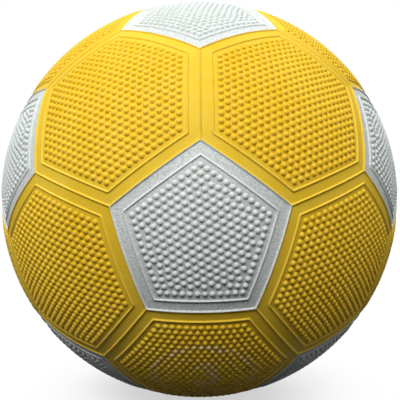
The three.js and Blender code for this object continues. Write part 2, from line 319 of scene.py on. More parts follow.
class Outline:
    """A panel's polygon, from its number of sides and the angle of its corners. On the plane that touches the
    ball at the panel's centre, all lines at one distance inside the seam make the same polygon at another
    scale. The first side is the one that faces +y."""

    def __init__(self, sides, corner):
        self.sides = sides
        self.reach = math.tan(corner)
        self.side_angle = math.atan(self.reach * math.cos(math.pi / sides))

    def scale(self, distance):
        return math.tan(self.side_angle - distance / COVER_RADIUS) / math.tan(self.side_angle)

    def corners(self, scale):
        turn = math.pi / 2 - math.pi / self.sides + 2 * math.pi * np.arange(self.sides) / self.sides
        return self.reach * scale * np.stack([np.cos(turn), np.sin(turn)], 1)

    def ring(self, distance):
        """Points at even steps along all sides, at a distance inside the seam."""
        at = self.corners(self.scale(distance))
        share = np.arange(SIDE_STEPS)[:, None] / SIDE_STEPS
        return np.concatenate([a * (1 - share) + b * share for a, b in zip(at, np.roll(at, -1, 0))])


def valve_circle(radius, height):
    """A circle round the valve, on the touching plane, with the count and the start of a hexagon's ring."""
    count = HEXAGON_SIDES * SIDE_STEPS
    turn = math.pi / 2 - math.pi / HEXAGON_SIDES + 2 * math.pi * np.arange(count) / count
    return radius / height * np.stack([np.cos(turn), np.sin(turn)], 1)


def on_ball(plane, radius):
    """Points on the touching plane, pushed out to a radius."""
    rays = np.concatenate([plane, np.ones((len(plane), 1))], 1)
    return unit(rays) * np.reshape(radius, (-1, 1))


def ridge(crest):
    """Distances and heights across a raised line, from its outer foot over its crest to its inner foot."""
    rise = [(LINE_HALF_WIDTH * (1 - s), LINE_HEIGHT * math.sin(s * math.pi / 2) ** LINE_ROUNDING)
            for s in LINE_STEPS]
    return [(crest - d, h) for d, h in rise] + [(crest + d, h) for d, h in rise[-2::-1]]


def spaced(half_length, across, count):
    """Positions along a row that is a distance from the panel's centre, evenly spaced on the ball."""
    reach = math.hypot(1, across)
    edge = math.atan(half_length / reach)
    return reach * np.tan(np.linspace(-edge, edge, count))


def hexagon_studs(outline):
    """Rows parallel to the side that faces +y. Each next row towards the middle has one more stud."""
    row_angle = outline.side_angle - ROW_INSET / COVER_RADIUS
    apothem = math.tan(row_angle)
    found = []
    for row in range(-HEXAGON_ROWS, HEXAGON_ROWS + 1):
        across = math.tan(row_angle * row / HEXAGON_ROWS)
        half = (2 * apothem - abs(across)) / math.sqrt(3)
        count = HEXAGON_TOP_STUDS + HEXAGON_ROWS - abs(row)
        found += [(x, across) for x in spaced(half, across, count)]
    return np.array(found)


def side_studs(corners):
    """One row of studs along every side of a pentagon."""
    found = []
    for a, b in zip(corners, np.roll(corners, -1, 0)):
        middle, half = (a + b) / 2, (b - a) / 2
        length = np.linalg.norm(half)
        along = spaced(length, np.linalg.norm(middle), PENTAGON_SIDE_STUDS + 1)[:-1]
        found += [middle + half / length * x for x in along]
    return np.array(found)


def pentagon_studs(outline):
    """A row along every side, and inside it rows parallel to the side that faces +y."""
    corners = outline.corners(outline.scale(ROW_INSET))
    border = side_studs(corners)
    border_places = on_ball(border, COVER_RADIUS)
    normals = [unit(a + b) for a, b in zip(corners, np.roll(corners, -1, 0))]
    row_angle = outline.side_angle - ROW_INSET / COVER_RADIUS
    inside = []
    for row in range(1, PENTAGON_ROWS + 1):
        across = math.tan(row_angle - row * PENTAGON_ROW_SPACING / COVER_RADIUS)
        shift = 0.0 if row % 2 else 0.5
        for step in range(-PENTAGON_HALF_ROW, PENTAGON_HALF_ROW + 1):
            x = math.hypot(1, across) * math.tan((step + shift) * PENTAGON_PITCH / COVER_RADIUS)
            point = np.array([x, across])
            if max(point @ n for n in normals) > math.tan(row_angle):
                continue
            place = on_ball(point[None], COVER_RADIUS)
            if np.linalg.norm(border_places - place, axis=1).min() >= STUD_CLEAR:
                inside.append(point)
    return settled(np.concatenate([border, inside]), len(border))


def settled(studs, fixed):
    """Studs that stand too close push each other away, all but the first ones, which stay in their row."""
    places = on_ball(studs, COVER_RADIUS)
    for _ in range(SETTLE_ROUNDS):
        gaps = places[:, None] - places[None]
        lengths = np.linalg.norm(gaps, axis=2)
        np.fill_diagonal(lengths, STUD_REST)
        push = np.clip(STUD_REST - lengths, 0, None) / lengths
        moves = SETTLE_SHARE * (gaps * push[:, :, None]).sum(1)
        moves[:fixed] = 0
        places = unit(places + moves) * COVER_RADIUS
    return places[:, :2] / places[:, 2:]


def dome(distance):
    """Height of a stud at a distance from its middle: the cap of a ball, and flat beyond it."""
    ball = (STUD_RADIUS ** 2 + STUD_HEIGHT ** 2) / (2 * STUD_HEIGHT)
    return max(math.sqrt(ball ** 2 - distance ** 2) - (ball - STUD_HEIGHT), 0.0)


def stud_points(centres):
    """Points of all studs: places on the touching plane, heights above the cover, and stud numbers."""
    out = unit(np.concatenate([centres, np.ones((len(centres), 1))], 1))
    side = unit(np.cross(out, SIDEWAYS))
    up = np.cross(out, side)
    places, heights, owners = [], [], []
    for distance, count, start in STUD_SPREAD:
        for i in range(count):
            turn = 2 * math.pi * (i + start) / count
            ray = out + distance / COVER_RADIUS * (math.cos(turn) * side + math.sin(turn) * up)
            places.append(ray[:, :2] / ray[:, 2:])
            heights.append(np.full(len(centres), dome(distance)))
            owners.append(np.arange(len(centres)))
    return np.concatenate(places), np.concatenate(heights), np.concatenate(owners)


OUTER_FACE, WALL, INNER_FACE = 0, 1, 2
NO_STUD = -1


def loop_edges(first, count):
    return [(first + i, first + (i + 1) % count) for i in range(count)]


class Panel:
    """Vertices, as places on the touching plane with their distances from the ball's centre, and faces. Each
    vertex has a zone and the number of its stud. A ring is the number of its first vertex and their count."""

    def __init__(self, sides, corner, valve=False):
        self.outline = Outline(sides, corner)
        self.valve = valve
        self.places, self.radii, self.owners, self.zones, self.faces = [], [], [], [], []
        self.size = 0
        self.stud_count = 0
        self.feet = None
        self.hole_top = None
        rings = self.top()
        self.field(rings[-1])
        self.wall = (rings[0], self.ring(self.outline.ring(SEAM_GAP), INNER_RADIUS, WALL))
        self.back()

    def add(self, places, radii, zone, owners=None):
        """Adds vertices and returns the number of the first."""
        first, count = self.size, len(places)
        self.places.append(np.asarray(places, float))
        self.radii.append(np.broadcast_to(np.asarray(radii, float), (count,)))
        self.owners.append(np.full(count, NO_STUD) if owners is None else owners)
        self.zones.append(np.full(count, zone))
        self.size += count
        return first

    def ring(self, places, radius, zone=OUTER_FACE):
        return self.add(places, radius, zone), len(places)

    def band(self, outer, inner):
        """Faces between two rings of as many points, which face out of the ball if the first is outermost."""
        (a, count), (b, _) = outer, inner
        for i in range(count):
            j = (i + 1) % count
            self.faces.append((a + i, a + j, b + j, b + i))

    def bands(self, rings):
        for outer, inner in zip(rings, rings[1:]):
            self.band(outer, inner)

    def top(self):
        """The inner half of the seam line, the flat border and the field line. Returns their rings."""
        reach = LINE_HALF_WIDTH + LINE_EASE
        seam_line = ridge(SEAM_GAP)[len(LINE_STEPS) - 1:]
        border = [(d, 0.0) for d in (SEAM_GAP + reach, *BORDER_RINGS, BORDER_WIDTH - reach)]
        profile = [*seam_line, *border, *ridge(BORDER_WIDTH), (BORDER_WIDTH + reach, 0.0)]
        rings = [self.ring(self.outline.ring(d), COVER_RADIUS + h) for d, h in profile]
        outer_foot, inner_foot = rings[len(seam_line) + len(border)], rings[-2]
        self.feet = np.r_[outer_foot[0]:sum(outer_foot), inner_foot[0]:sum(inner_foot)]
        self.bands(rings)
        return rings

    def field(self, edge):
        """The studs inside the field line, and the cover between them."""
        studs_of = hexagon_studs if self.outline.sides == HEXAGON_SIDES else pentagon_studs
        studs = studs_of(self.outline)
        if self.valve:
            clear = VALVE_PAD_RADIUS + 2 * LINE_HALF_WIDTH + STUD_RADIUS + PAD_TO_STUDS
            studs = studs[np.linalg.norm(studs, axis=1) * COVER_RADIUS > clear]
        self.stud_count = len(studs)
        places, heights, owners = stud_points(studs)
        first_stud = self.add(places, COVER_RADIUS + heights, OUTER_FACE, owners)
        start, count = edge
        inputs = [*range(start, start + count), *range(first_stud, first_stud + len(places))]
        edges = loop_edges(0, count)
        pad = (self.size, 0)
        if self.valve:
            pad = self.pad()
            edges += loop_edges(len(inputs), pad[1])
            inputs += range(pad[0], sum(pad))
        self.fill(inputs, edges, count, first_stud, pad[0])

    def fill(self, inputs, edges, count, first_stud, first_pad):
        """Triangles over the field. The triangulation also fills the hole and slivers beyond the straight
        sides. Their vertices all lie on the pad's ring or on one side, and they are left out."""
        places = np.concatenate(self.places)
        plane = places[inputs] * COVER_RADIUS
        share = np.arange(count) % SIDE_STEPS / SIDE_STEPS
        plane[:count] *= 1 - SIDE_HOLLOW * (share * (1 - share))[:, None]
        points, _, faces, origins, _, _ = delaunay_2d_cdt(
            [Vector(p) for p in plane], edges, [], ONLY_INSIDE, POINT_TOLERANCE, True)
        assert len(points) == len(inputs), "studs meet each other or a raised line"
        source = [inputs[merged[0]] for merged in origins]
        for face in faces:
            a, b, c = (points[i] for i in face)
            turn = (b - a).cross(c - a)
            face = tuple(source[i] for i in (face if turn > 0 else face[::-1]))
            (ax, ay), (bx, by), (cx, cy) = places[list(face)]
            straight = abs((bx - ax) * (cy - ay) - (cx - ax) * (by - ay)) < NO_AREA
            in_hole = min(face) >= first_pad
            beyond_side = max(face) < first_stud and straight
            if not in_hole and not beyond_side:
                self.faces.append(face)

    def pad(self):
        """The raised line round the valve's pad, the pad and the edge of its hole. Returns the first ring."""
        levels = [(r, math.sqrt((COVER_RADIUS + h) ** 2 - r ** 2))
                  for r, h in ridge(VALVE_PAD_RADIUS + LINE_HALF_WIDTH)[:0:-1]]
        levels += [(r, PAD_HEIGHT - depth) for r, depth in PAD_RINGS]
        rings = [self.ring(valve_circle(r, height), math.hypot(r, height)) for r, height in levels]
        self.bands(rings)
        self.hole_top = rings[-1]
        return rings[0]

    def back(self):
        """The wall under the seam's crest, and the inner face from there to its middle or the hole."""
        seam, edge = self.wall
        self.band(edge, seam)
        outer = self.outline.ring(SEAM_GAP)
        middle, shares = np.zeros_like(outer), INNER_SHARES
        if self.valve:
            height = math.sqrt(INNER_RADIUS ** 2 - VALVE_HOLE_RADIUS ** 2)
            middle, shares = valve_circle(VALVE_HOLE_RADIUS, height), (*INNER_SHARES, 0)
        last = edge
        for share in shares:
            ring = self.ring(outer * share + middle * (1 - share), INNER_RADIUS, INNER_FACE)
            self.band(ring, last)
            last = ring
        if self.valve:
            self.band(self.hole_top, last)
        else:
            centre = self.add([(0, 0)], INNER_RADIUS, INNER_FACE)
            self.faces += [(b, a, centre) for a, b in loop_edges(*last)]


# Mesh of one panel

def numbers(items, key, each=1):
    """A whole-number property of all items of a mesh, as one array."""
    out = np.empty(len(items) * each, np.int32)
    items.foreach_get(key, out)
    return out


def flattened(places, reach):
    """Places on the touching plane as arcs from the panel's middle, with its corners at 1."""
    far = np.linalg.norm(places, axis=1)
    return places * (np.arctan(far) / np.maximum(far, TINY))[:, None] / math.atan(reach)


def wall_strip(panel, at):
    """Places on the picture map for the vertices of one face of the wall."""
    (seam, count), (edge, _) = panel.wall
    below = at >= edge
    steps = np.where(below, at - edge, at - seam)
    if steps.max() - steps.min() > 1:
        steps = np.where(steps == 0, count, steps)
    along = MAP_WALL_START + MAP_WALL_LENGTH * steps / count
    return np.stack([along, np.where(below, MAP_WALL_BOTTOM, MAP_WALL_TOP)], 1)


def picture_map(panel, mesh):
    """Places of all face corners on the piece's picture map."""
    zones = np.concatenate(panel.zones)
    spread = flattened(np.concatenate(panel.places), panel.outline.reach)
    outer = MAP_OUTER_MIDDLE + MAP_OUTER_REACH * spread
    inner = MAP_INNER_MIDDLE + MAP_INNER_REACH * spread
    corner = numbers(mesh.loops, "vertex_index")
    starts, totals = numbers(mesh.polygons, "loop_start"), numbers(mesh.polygons, "loop_total")
    face_zone = np.maximum.reduceat(zones[corner], starts)
    uv = outer[corner]
    for start, total in zip(starts[face_zone == WALL], totals[face_zone == WALL]):
        uv[start:start + total] = wall_strip(panel, corner[start:start + total])
    for start, total in zip(starts[face_zone == INNER_FACE], totals[face_zone == INNER_FACE]):
        uv[start:start + total] = inner[corner[start:start + total]]
    return uv


def mark_sharp(mesh, panel):
    """The seam's crest, the inner face's edge and the edge of the valve's hole stay crisp."""
    rings = [*panel.wall, *([panel.hole_top] if panel.valve else [])]
    ring_edges = {(min(a, b), max(a, b)) for ring in rings for a, b in loop_edges(*ring)}
    pairs = np.sort(numbers(mesh.edges, "vertices", 2).reshape(-1, 2), 1)
    sharp = np.fromiter(((a, b) in ring_edges for a, b in pairs.tolist()), bool, len(pairs))
    mesh.attributes.new("sharp_edge", "BOOLEAN", "EDGE").data.foreach_set("value", sharp)


def mesh_of(panel, name, turn):
    """The panel's mesh in the ball's frame. Studs differ a little in height and tone, as moulded ones do. The
    materials read four values of a point: its relief above the cover, how near it is to a raised line's
    crest, which sets a painted highlight, the tone of its stud, and a painted shade that follows how deep it
    is among the studs and lies in part on the raised lines' feet."""
    radii, owners = np.concatenate(panel.radii), np.concatenate(panel.owners)
    on_stud = owners != NO_STUD
    above = radii - COVER_RADIUS
    relief = np.clip(above / STUD_HEIGHT, 0, 1)
    # Nearness to a raised line's crest, which carries a painted highlight
    crest = np.where(on_stud, 0.0, np.clip(above / LINE_HEIGHT, 0, 1))
    # Painted shade: full at a stud's foot, none on its crown, and in part on the raised lines' feet
    painted_shade = np.where(on_stud, 1 - relief, 0.0)
    painted_shade[panel.feet] = FOOT_SHADE
    heights = random.uniform(LOWEST_STUD, 1.0, panel.stud_count)
    tones = random.uniform(0, 1, panel.stud_count)
    stud_tone = np.zeros(len(radii))
    stud_tone[on_stud] = tones[owners[on_stud]]
    radii[on_stud] = COVER_RADIUS + above[on_stud] * heights[owners[on_stud]]
    points = on_ball(np.concatenate(panel.places), radii) @ turn * MM
    mesh = bpy.data.meshes.new(name)
    mesh.from_pydata(points.tolist(), [], panel.faces)
    mesh.polygons.foreach_set("use_smooth", np.ones(len(mesh.polygons), bool))
    for key, values in (("relief", relief), ("stud_tone", stud_tone), ("painted_shade", painted_shade), ("crest", crest)):
        mesh.attributes.new(key, "FLOAT", "POINT").data.foreach_set("value", values.astype(np.float32))
    layer = mesh.uv_layers.new(name="OFBake")
    layer.uv.foreach_set("vector", picture_map(panel, mesh).astype(np.float32).ravel())
    mark_sharp(mesh, panel)
    mesh.update()
    assert not mesh.validate(clean_customdata=False)
    return mesh


# Pieces of the cover

def put(mesh, name, body, nodes, material):
    """Makes a piece that rides on a body and stands for CAD nodes."""
    piece = bpy.data.objects.new(name, mesh)
    bpy.context.scene.collection.objects.link(piece)
    mesh.materials.append(material)
    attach(piece, body)
    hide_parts(*nodes)


def panel_number(centres, node):
    """Number of the panel whose centre lies under a CAD node's middle."""
    points = np.array([v.co for v in frame["nodes"][node].data.vertices])
    return closest(centres, unit(points.mean(0)))


def pentagon_up(index):
    """Direction that a pentagon's first side faces: up and to the left on the front one, the lower of the
    hexagons shared with the front one on those round it, and any hexagon on the others."""
    if index == FRONT_PENTAGON:
        right, up, _ = basis(PENTAGONS[index], UP)
        return math.cos(math.pi / PENTAGON_SIDES) * up - math.sin(math.pi / PENTAGON_SIDES) * right
    neighbours = np.flatnonzero(NEAR[index])
    pick = neighbours[random.integers(len(neighbours))]
    beside_front = FRONT_PENTAGON in neighbours
    if beside_front:
        pick = FRONT_PENTAGON
    others = [i for i in neighbours if NEAR[pick, i]]
    other = others[np.argmin(PENTAGONS[others, 2])] if beside_front else others[0]
    return unit(PENTAGONS[pick] + PENTAGONS[other])


def hexagon_up(index):
    """Direction of a pentagon that shares a side with the hexagon, the front one where it can. The rows of
    studs run along that side."""
    neighbours = HEXAGON_NEIGHBOURS[index]
    pick = FRONT_PENTAGON if FRONT_PENTAGON in neighbours else neighbours[random.integers(len(neighbours))]
    return PENTAGONS[pick]


def cover():
    pentagon = Panel(PENTAGON_SIDES, PENTAGON_CORNER)
    hexagon = Panel(HEXAGON_SIDES, HEXAGON_CORNER)
    valve_hexagon = Panel(HEXAGON_SIDES, HEXAGON_CORNER, valve=True)
    silver = silver_rubber("silver_cover_rubber")
    yellow = yellow_rubber("yellow_cover_rubber")
    printed = yellow_rubber("yellow_cover_rubber_marked", size_mark)
    for node in sorted(frame["nodes"]):
        name = node + "_studded"
        if node.startswith("pentagon_panel"):
            index = panel_number(PENTAGONS, node)
            mesh = mesh_of(pentagon, name, basis(PENTAGONS[index], pentagon_up(index)))
            put(mesh, name, "ball", [node], silver)
        elif node.startswith("hexagon_panel"):
            index = panel_number(HEXAGONS, node)
            panel = valve_hexagon if index == VALVE_HEXAGON else hexagon
            mesh = mesh_of(panel, name, basis(HEXAGONS[index], hexagon_up(index)))
            material = printed if index == PRINTED_HEXAGON else yellow
            put(mesh, name, "ball", [node], material)


# Valve

def turned(name, profile):
    """A closed ring or plug turned about z from (radius, height) points, which run up the outside first."""
    points, faces, rows = [], [], []
    for radius, height in profile:
        if radius == 0:
            rows.append([len(points)] * VALVE_SEGMENTS)
            points.append((0, 0, height * MM))
            continue
        rows.append(list(range(len(points), len(points) + VALVE_SEGMENTS)))
        for i in range(VALVE_SEGMENTS):
            turn = 2 * math.pi * i / VALVE_SEGMENTS
            points.append((radius * math.cos(turn) * MM, radius * math.sin(turn) * MM, height * MM))
    closed = profile[0][0] != 0
    pairs = zip(rows, rows[1:] + rows[:1]) if closed else zip(rows, rows[1:])
    for low, high in pairs:
        for i in range(VALVE_SEGMENTS):
            j = (i + 1) % VALVE_SEGMENTS
            faces.append(tuple(dict.fromkeys((low[i], low[j], high[j], high[i]))))
    mesh = bpy.data.meshes.new(name)
    mesh.from_pydata(points, [], faces)
    mesh.polygons.foreach_set("use_smooth", np.ones(len(mesh.polygons), bool))
    mesh.set_sharp_from_angle(angle=SHARP_ANGLE)
    assert not mesh.validate()
    return mesh


def rounded_profile(corners, radius):
    """The profile with each corner eased by a few short steps, over a third of its sides at most. A corner on
    the axis stays."""
    out = []
    count = len(corners)
    for i, corner in enumerate(corners):
        here = np.array(corner)
        if corner[0] == 0:
            out.append(tuple(here))
            continue
        before, after = np.array(corners[i - 1]), np.array(corners[(i + 1) % count])
        step = min(radius, np.linalg.norm(before - here) / 3, np.linalg.norm(after - here) / 3)
        a, b = here + unit(before - here) * step, here + unit(after - here) * step
        for t in ROUNDING_STEPS:
            out.append(tuple(a * (1 - t) ** 2 + 2 * here * t * (1 - t) + b * t ** 2))
    return out


def flange_top(radius):
    """Height of the flange's upper face, which falls away outwards as the layers above it do."""
    return FLANGE_TOP - FLANGE_SLOPE * radius


def valve():
    """The housing, whose rim shows in the panel's pad, with the core in it."""
    bore = CORE_RADIUS + CORE_CLEARANCE
    recess = CORE_HEAD_RADIUS + CORE_CLEARANCE
    head_bottom = CORE_TOP - CORE_HEAD_THICKNESS
    shoulder = head_bottom - CORE_CLEARANCE
    hole_bottom = CORE_TOP - NEEDLE_HOLE_DEPTH
    housing = rounded_profile([
        (bore, VALVE_BOTTOM),
        (TAIL_RADIUS, VALVE_BOTTOM),
        (TAIL_RADIUS, flange_top(TAIL_RADIUS) - FLANGE_THICKNESS),
        (FLANGE_RADIUS, flange_top(FLANGE_RADIUS) - FLANGE_THICKNESS),
        (FLANGE_RADIUS, flange_top(FLANGE_RADIUS)),
        (STEM_RADIUS, flange_top(STEM_RADIUS)),
        (STEM_RADIUS, VALVE_TOP),
        (recess, VALVE_TOP),
        (recess, shoulder),
        (bore, shoulder),
    ], HOUSING_ROUNDING)
    core = rounded_profile([
        (0, CORE_BOTTOM),
        (CORE_RADIUS, CORE_BOTTOM),
        (CORE_RADIUS, head_bottom),
        (CORE_HEAD_RADIUS, head_bottom),
        (CORE_HEAD_RADIUS, CORE_TOP),
        (FUNNEL_RADIUS, CORE_TOP),
        (NEEDLE_HOLE_RADIUS, CORE_TOP - FUNNEL_DEPTH),
        (NEEDLE_HOLE_RADIUS, hole_bottom),
        (0, hole_bottom),
    ], CORE_ROUNDING)
    put(turned("valve_housing_moulded", housing), "valve_housing_moulded", "ball",
        ["valve_housing"], dark_rubber("valve_rubber", VALVE_BLACK, roughness=0.55, spot=3.5))
    put(turned("valve_core_moulded", core), "valve_core_moulded", "valve_core",
        ["valve_core"], dark_rubber("valve_core_rubber", CORE_BLACK, roughness=0.42, spot=2.5))


# Node materials

class Nodes:
    """A node tree, with short calls for the nodes used here. A value is a number, a colour or a socket."""

    def __init__(self, tree):
        self.tree = tree

    def new(self, kind):
        return self.tree.nodes.new("ShaderNode" + kind)

    def link(self, a, b):
        self.tree.links.new(a, b)

    def feed(self, value, socket):
        if isinstance(value, bpy.types.NodeSocket):
            self.link(value, socket)
        else:
            socket.default_value = value

    def calc(self, operation, *values):
        node = self.new("Math")
        node.operation = operation
        for value, socket in zip(values, node.inputs):
            self.feed(value, socket)
        return node.outputs[0]

    def spread(self, value, between, to=(0.0, 1.0), smooth=False):
        """The value's way through one range, as a place in another range."""
        node = self.new("MapRange")
        node.interpolation_type = "SMOOTHSTEP" if smooth else "LINEAR"
        for v, socket in zip((value, *between, *to), node.inputs):
            self.feed(v, socket)
        return node.outputs[0]

    def mix(self, share, a, b):
        """A colour on the way from one to another."""
        node = self.new("Mix")
        node.data_type = "RGBA"
        self.feed(share, node.inputs["Factor"])
        for value, socket in ((a, node.inputs[6]), (b, node.inputs[7])):
            self.feed(value if isinstance(value, bpy.types.NodeSocket) else (*value, 1.0), socket)
        return node.outputs[2]

    def seen_directly(self):
        """1 for rays from the camera, by gloss or through glass too, and 0 for those that light the ball."""
        path = self.new("LightPath")
        seen = path.outputs["Is Camera Ray"]
        for name in ("Is Glossy Ray", "Is Transmission Ray"):
            seen = self.calc("MAXIMUM", seen, path.outputs[name])
        return seen


class Surface(Nodes):
    """The nodes of one object's material. Sizes and places are millimetres in the ball's frame."""

    def __init__(self, name):
        self.material = bpy.data.materials.new(name)
        self.material.use_nodes = True
        super().__init__(self.material.node_tree)
        self.tree.nodes.clear()
        self.shader = self.new("BsdfPrincipled")
        self.link(self.shader.outputs[0], self.new("OutputMaterial").inputs[0])
        self.place = self.shade(self.new("TexCoord").outputs["Object"], 1 / MM)

    def along(self, axis):
        """How far a place is along an axis."""
        node = self.new("VectorMath")
        node.operation = "DOT_PRODUCT"
        self.link(self.place, node.inputs[0])
        node.inputs[1].default_value = tuple(axis)
        return node.outputs["Value"]

    def attribute(self, name):
        node = self.new("Attribute")
        node.attribute_name = name
        return node.outputs["Fac"]

    def noise(self, size, detail=2.0, roughness=0.5, distortion=0.0):
        """Noise whose spots are about this wide."""
        node = self.new("TexNoise")
        self.link(self.place, node.inputs["Vector"])
        node.inputs["Scale"].default_value = 1 / size
        node.inputs["Detail"].default_value = detail
        node.inputs["Roughness"].default_value = roughness
        node.inputs["Distortion"].default_value = distortion
        return node.outputs["Fac"]

    def flakes(self, size, channel):
        """Cells of this width, each with a number of its own from a channel of its colour."""
        cells = self.new("TexVoronoi")
        self.link(self.place, cells.inputs["Vector"])
        cells.inputs["Scale"].default_value = 1 / size
        split = self.new("SeparateColor")
        self.link(cells.outputs["Color"], split.inputs["Color"])
        return split.outputs[channel]

    def shade(self, colour, by):
        """The colour, or a place, times a number."""
        node = self.new("VectorMath")
        node.operation = "SCALE"
        self.link(colour, node.inputs[0])
        self.feed(by, node.inputs["Scale"])
        return node.outputs[0]

    def bump(self, height, distance, strength, normal=None):
        """Height is from 0 to 1, and distance is its depth."""
        node = self.new("Bump")
        node.inputs["Strength"].default_value = strength
        node.inputs["Distance"].default_value = distance * MM
        self.link(height, node.inputs["Height"])
        if normal:
            self.link(normal, node.inputs["Normal"])
        return node.outputs[0]

    def finish(self, colour, roughness, normal, specular=0.5):
        self.link(colour, self.shader.inputs["Base Color"])
        self.link(roughness, self.shader.inputs["Roughness"])
        self.link(normal, self.shader.inputs["Normal"])
        self.shader.inputs["Specular IOR Level"].default_value = specular
        return self.material


def yellow_rubber(name, print_mask=None):
    """Yellow rubber with worn patches, stud tops lighter partly from wear and partly as painted highlight,
    painted highlight on the crests, painted shade among the studs, and any print on it.
    """
    n = Surface(name)
    relief, painted_shade = n.attribute("relief"), n.attribute("painted_shade")
    tone = n.noise(size=34)
    patches = n.noise(size=5, detail=3, roughness=0.6)
    grain = n.noise(size=0.45, detail=3, roughness=0.65)
    colour = n.mix(n.spread(tone, TONE_RANGE), YELLOW, YELLOW_DEEP)
    colour = n.mix(n.spread(patches, PATCH_RANGE, to=(0, YELLOW_PATCH_SHARE)), colour, YELLOW_WEAR_AND_HIGHLIGHT)
    # Stud tops lighter, partly from wear and partly as painted highlight
    top_wear_and_highlight = n.calc("MULTIPLY", n.spread(relief, STUD_TOP, smooth=True), n.attribute("stud_tone"))
    colour = n.mix(n.calc("MULTIPLY", top_wear_and_highlight, YELLOW_TOP_WEAR_AND_HIGHLIGHT_SHARE), colour, YELLOW_WEAR_AND_HIGHLIGHT)
    colour = n.shade(colour, n.spread(grain, NOISE_RANGE, to=(0.90, 1.08)))
    # Painted highlight along the crests of the raised lines
    colour = n.mix(n.calc("MULTIPLY", n.attribute("crest"), CREST_HIGHLIGHT_SHARE), colour, YELLOW_WEAR_AND_HIGHLIGHT)
    # Painted shade among the studs and at the raised lines' feet
    colour = n.mix(n.spread(painted_shade, SHADE_RANGE, to=(0, YELLOW_SHADE_SHARE), smooth=True), colour, YELLOW_SHADE)
    if print_mask:
        crown = n.spread(relief, STUD_RISE, to=(PRINT_IN_PITS, 1.0), smooth=True)
        wear = n.spread(n.noise(size=5.5, detail=3, roughness=0.7), PRINT_WEAR_RANGE, to=PRINT_WEAR)
        ink = n.calc("MULTIPLY", n.calc("MULTIPLY", print_mask(n), crown), wear)
        colour = n.mix(ink, colour, INK)
    roughness = n.spread(n.noise(size=2.2, detail=4, roughness=0.6), NOISE_RANGE, to=(0.50, 0.64))
    normal = n.bump(n.noise(size=0.32, detail=3, roughness=0.6), distance=0.02, strength=0.6)
    normal = n.bump(patches, distance=0.05, strength=0.4, normal=normal)
    return n.finish(colour, roughness, normal, specular=0.08)


def silver_rubber(name):
    """Silver rubber whose flakes sparkle on the flat border and are calmer on the studs. The studs and crests
    are paler as painted highlight, and painted shade lies among the studs and at the raised lines' feet.
    """
    n = Surface(name)
    relief, painted_shade = n.attribute("relief"), n.attribute("painted_shade")
    tone = n.noise(size=26)
    clouds = n.spread(n.noise(size=0.9, detail=3, roughness=0.7), NOISE_RANGE)
    coarse, fine = n.flakes(COARSE_FLAKE, channel=0), n.flakes(FINE_FLAKE, channel=1)
    sparkle = n.calc("MULTIPLY_ADD", fine, FINE_SHARE, n.calc("MULTIPLY", coarse, COARSE_SHARE))
    contrast = n.spread(relief, STUD_RISE, to=(BORDER_SPARKLE, STUD_SPARKLE), smooth=True)
    level = n.calc("MULTIPLY_ADD", n.calc("SUBTRACT", sparkle, 0.5), contrast, MEAN_SPARKLE)
    colour = n.mix(level, SILVER_DARK, SILVER)
    colour = n.shade(colour, n.spread(clouds, (0, 1), to=(0.92, 1.05)))
    colour = n.shade(colour, n.spread(tone, TONE_RANGE, to=(0.95, 1.04)))
    # Painted highlight along the crests of the raised lines
    colour = n.mix(n.calc("MULTIPLY", n.attribute("crest"), CREST_HIGHLIGHT_SHARE), colour, SILVER_HIGHLIGHT)
    # Painted highlight on the studs
    colour = n.mix(n.spread(relief, STUD_SIDE, to=(0, SILVER_STUD_HIGHLIGHT_SHARE), smooth=True), colour, SILVER_HIGHLIGHT)
    # Painted shade among the studs and at the raised lines' feet
    colour = n.mix(n.spread(painted_shade, SHADE_RANGE, to=(0, SILVER_SHADE_SHARE), smooth=True), colour, SILVER_SHADE)
    roughness = n.spread(n.noise(size=1.2, detail=4, roughness=0.6), NOISE_RANGE, to=(0.50, 0.62))
    normal = n.bump(sparkle, distance=0.012, strength=0.5)
    normal = n.bump(n.noise(size=5, detail=3), distance=0.05, strength=0.4, normal=normal)
    return n.finish(colour, roughness, normal, specular=0.10)


def size_mark(n):
    """The print on the marked hexagon: the digit of the ball's size, in a ring with a fainter one inside."""
    across, up, _ = basis(HEXAGONS[PRINTED_HEXAGON], PENTAGONS[FRONT_PENTAGON])
    x, y = n.along(across), n.along(up)

    def circle(x0, y0, radius, half_width):
        dx, dy = n.calc("SUBTRACT", x, x0), n.calc("SUBTRACT", y, y0)
        distance = n.calc("SQRT", n.calc("ADD", n.calc("MULTIPLY", dx, dx), n.calc("MULTIPLY", dy, dy)))
        return n.calc("COMPARE", distance, radius, half_width)

    def arc(y0, radius, half_width, cut):
        left = n.calc("LESS_THAN", x, DIGIT_CUT_X)
        beside = n.calc("LESS_THAN", n.calc("MULTIPLY", n.calc("SUBTRACT", y, y0), cut), DIGIT_CUT_REACH)
        kept = n.calc("SUBTRACT", 1.0, n.calc("MULTIPLY", left, beside))
        return n.calc("MULTIPLY", circle(DIGIT_X, y0, radius, half_width), kept)

    def ring(radius, half_width, share):
        return n.calc("MULTIPLY", circle(*RING_MIDDLE, radius, half_width), share)

    outer, inner = ring(*OUTER_RING), ring(*INNER_RING)
    digit = n.calc("MAXIMUM", arc(*DIGIT_UPPER_ARC), arc(*DIGIT_LOWER_ARC))
    return n.calc("MAXIMUM", n.calc("MAXIMUM", outer, digit), inner)


def dark_rubber(name, colour, roughness, spot, bloom=BLOOM):
    """Black rubber with a dusty bloom, faint flow marks and fine grain."""
    n = Surface(name)
    dust = n.noise(spot, detail=5, roughness=0.65, distortion=0.4)
    base = n.mix(n.spread(dust, BLOOM_RANGE, to=(0, BLOOM_SHARE)), colour, bloom)
    base = n.shade(base, n.spread(n.noise(size=0.4, detail=3), NOISE_RANGE, to=(0.8, 1.25)))
    flow = n.noise(size=1.5, detail=4, roughness=0.7)
    rough = n.spread(flow, NOISE_RANGE, to=(roughness - 0.08, roughness + 0.1))
    normal = n.bump(n.noise(size=0.35, detail=3, roughness=0.6), distance=0.03, strength=0.5)
    return n.finish(base, rough, normal)


